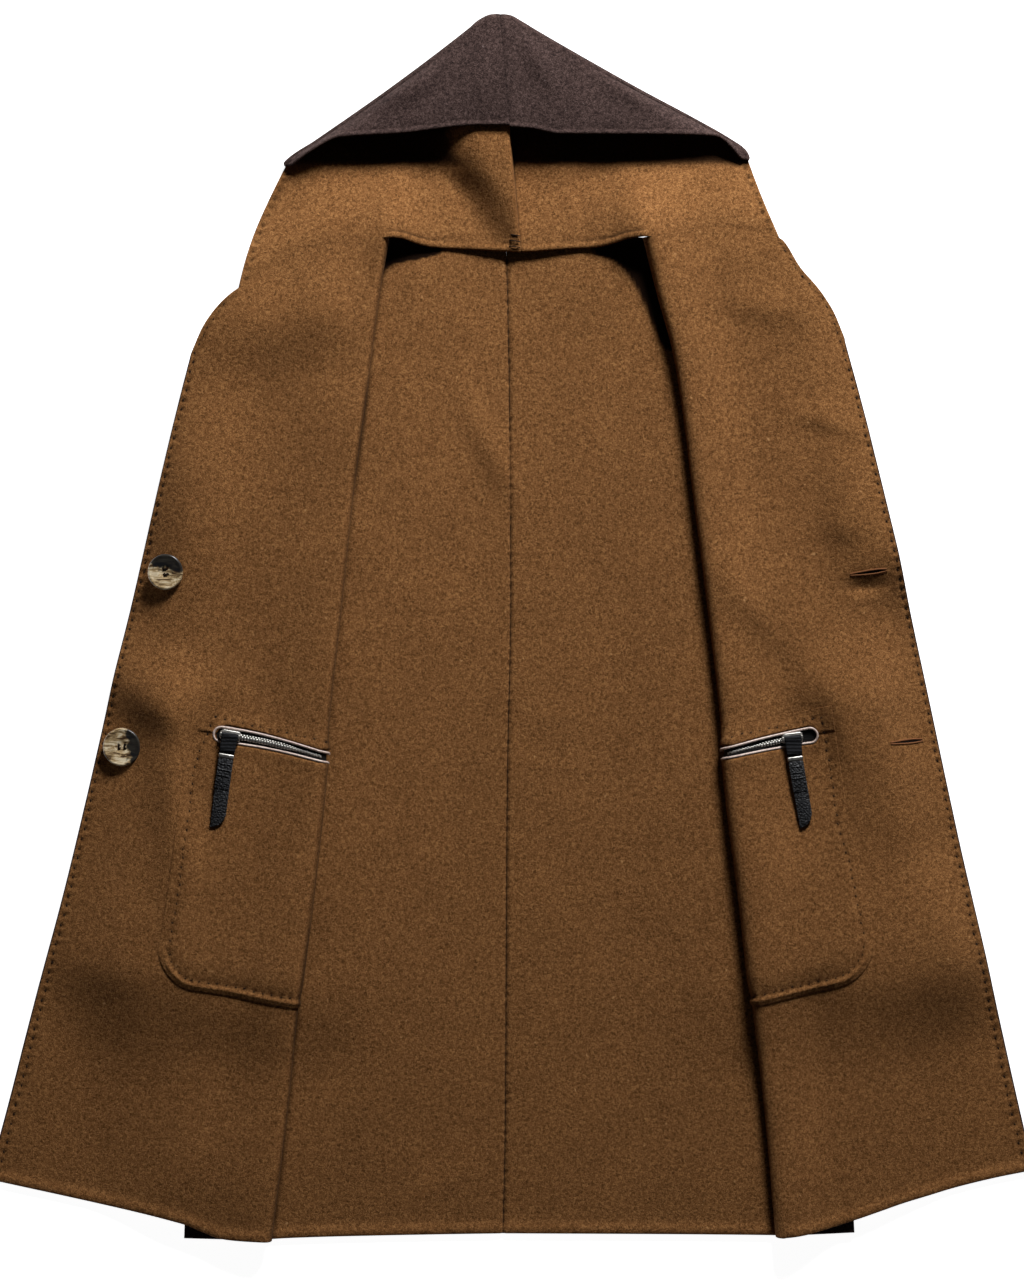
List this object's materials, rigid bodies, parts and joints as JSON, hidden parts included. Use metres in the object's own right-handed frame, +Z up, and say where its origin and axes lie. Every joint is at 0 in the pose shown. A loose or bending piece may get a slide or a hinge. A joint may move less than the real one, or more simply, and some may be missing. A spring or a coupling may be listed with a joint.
{
  "type": "hooded winter coat",
  "caption": "Hooded double-faced wool coat laid open and flat, inside up, fronts turned back, hood laid open, inside pockets with zips, horn buttons.",
  "frame": {"origin": "middle of the coat's footprint on the surface it lies on", "axes": "+X to the right seen from above with the hood away, +Y from hem to hood, +Z up out of the surface"},
  "size_m": [0.91, 1.066, 0.0299],
  "materials": {
    "wool_inner": "felted double-faced wool, camel brown inner face",
    "wool_outer": "felted double-faced wool, charcoal brown outer face",
    "piping": "satin binding, pale pink cream",
    "zip_tape": "woven zip tape, black",
    "zip_metal": "polished nickel",
    "pull_ribbon": "ribbed woven ribbon, near black",
    "pull_strap": "matt grained strap, dark grey",
    "horn": "polished horn, striated cream and brown",
    "thread": "waxed button thread, brown"
  },
  "bodies": {
    "coat": {"back_left": "wool_inner", "front_left": "wool_inner", "hood_left": "wool_inner", "sleeve_left": "wool_outer", "pocket_left": "wool_inner", "zip_piping_left": "piping", "zip_tape_left": "zip_tape", "zip_chain_left": "zip_metal", "zip_slider_left": "zip_metal", "back_right": "wool_inner", "front_right": "wool_inner", "hood_right": "wool_inner", "sleeve_right": "wool_outer", "pocket_right": "wool_inner", "zip_piping_right": "piping", "zip_tape_right": "zip_tape", "zip_chain_right": "zip_metal", "zip_slider_right": "zip_metal", "button_upper": "horn", "button_shank_upper": "thread", "button_lower": "horn", "button_shank_lower": "thread"},
    "pull_left": {"pull_loop_left": "pull_ribbon", "pull_band_left": "zip_metal", "pull_strap_left": "pull_strap"},
    "pull_right": {"pull_loop_right": "pull_ribbon", "pull_band_right": "zip_metal", "pull_strap_right": "pull_strap"}
  },
  "joints": [
    {"name": "pull_left_hinge", "type": "hinge", "parent": "coat", "child": "pull_left", "pos_m": [-0.2428, -0.09367, 0.0225], "axis": [-0.9848, 0.1736, 0], "range_deg": [0, 175]},
    {"name": "pull_right_hinge", "type": "hinge", "parent": "coat", "child": "pull_right", "pos_m": [0.2479, -0.09518, 0.02348], "axis": [-0.9914, -0.1305, 0], "range_deg": [0, 175]}
  ]
}
